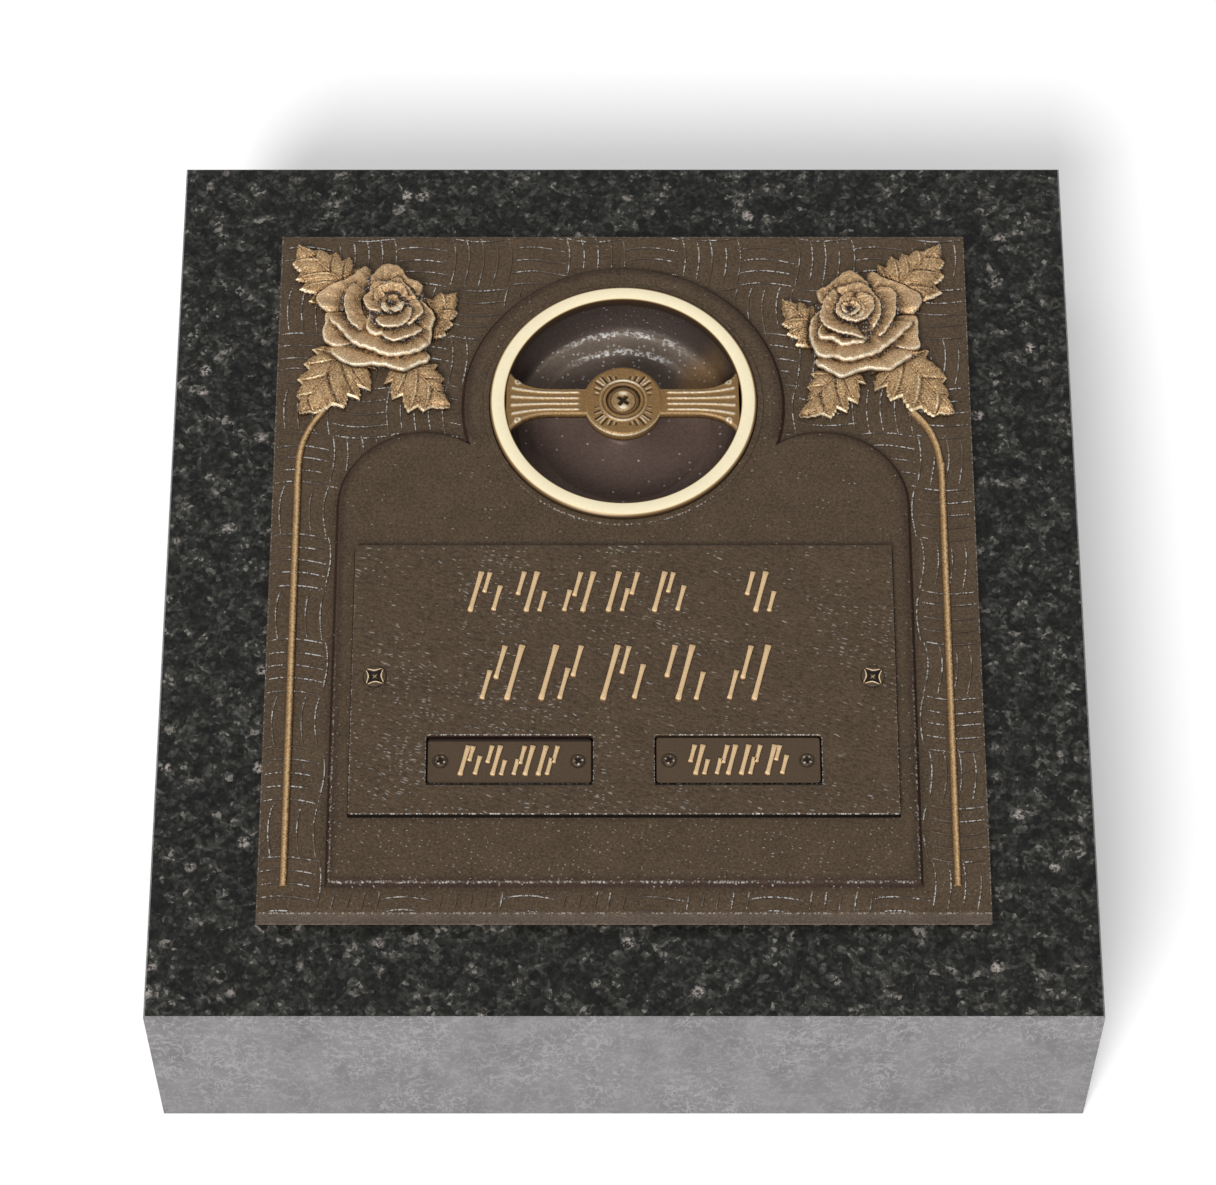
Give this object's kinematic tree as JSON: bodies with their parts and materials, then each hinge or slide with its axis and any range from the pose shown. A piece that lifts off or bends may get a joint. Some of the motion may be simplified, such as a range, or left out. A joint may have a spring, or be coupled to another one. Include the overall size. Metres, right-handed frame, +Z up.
{
  "type": "flat grave marker",
  "caption": "Flat grave marker: granite base, bronze plaque with rose relief on a basket-weave ground, screwed name and date plates, and a turn-down vase stored in it.",
  "frame": {"origin": "middle of the granite base's underside", "axes": "+Z up out of the ground, -Y towards the reader, +Y to the vase end, +X to the reader's right"},
  "size_m": [0.4572, 0.4826, 0.1407],
  "materials": {
    "granite": "dark granite, polished top, sawn sides",
    "dark_bronze": "dark oxidised cast bronze with brushed high edges",
    "gold_bronze": "satin golden cast bronze",
    "polished_bronze": "polished pale bronze",
    "screw_bronze": "dark bronze screw heads"
  },
  "bodies": {
    "root": {"granite_base": "granite", "bronze_plaque": "dark_bronze", "name_plate": "dark_bronze", "name_plate_screw_left": "gold_bronze", "name_plate_screw_right": "gold_bronze", "date_plate_left": "dark_bronze", "date_plate_right": "dark_bronze", "date_plate_screw_1": "screw_bronze", "date_plate_screw_2": "screw_bronze", "date_plate_screw_3": "screw_bronze", "date_plate_screw_4": "screw_bronze", "vase": "polished_bronze", "vase_handle": "gold_bronze", "vase_handle_screw": "gold_bronze"}
  },
  "joints": []
}
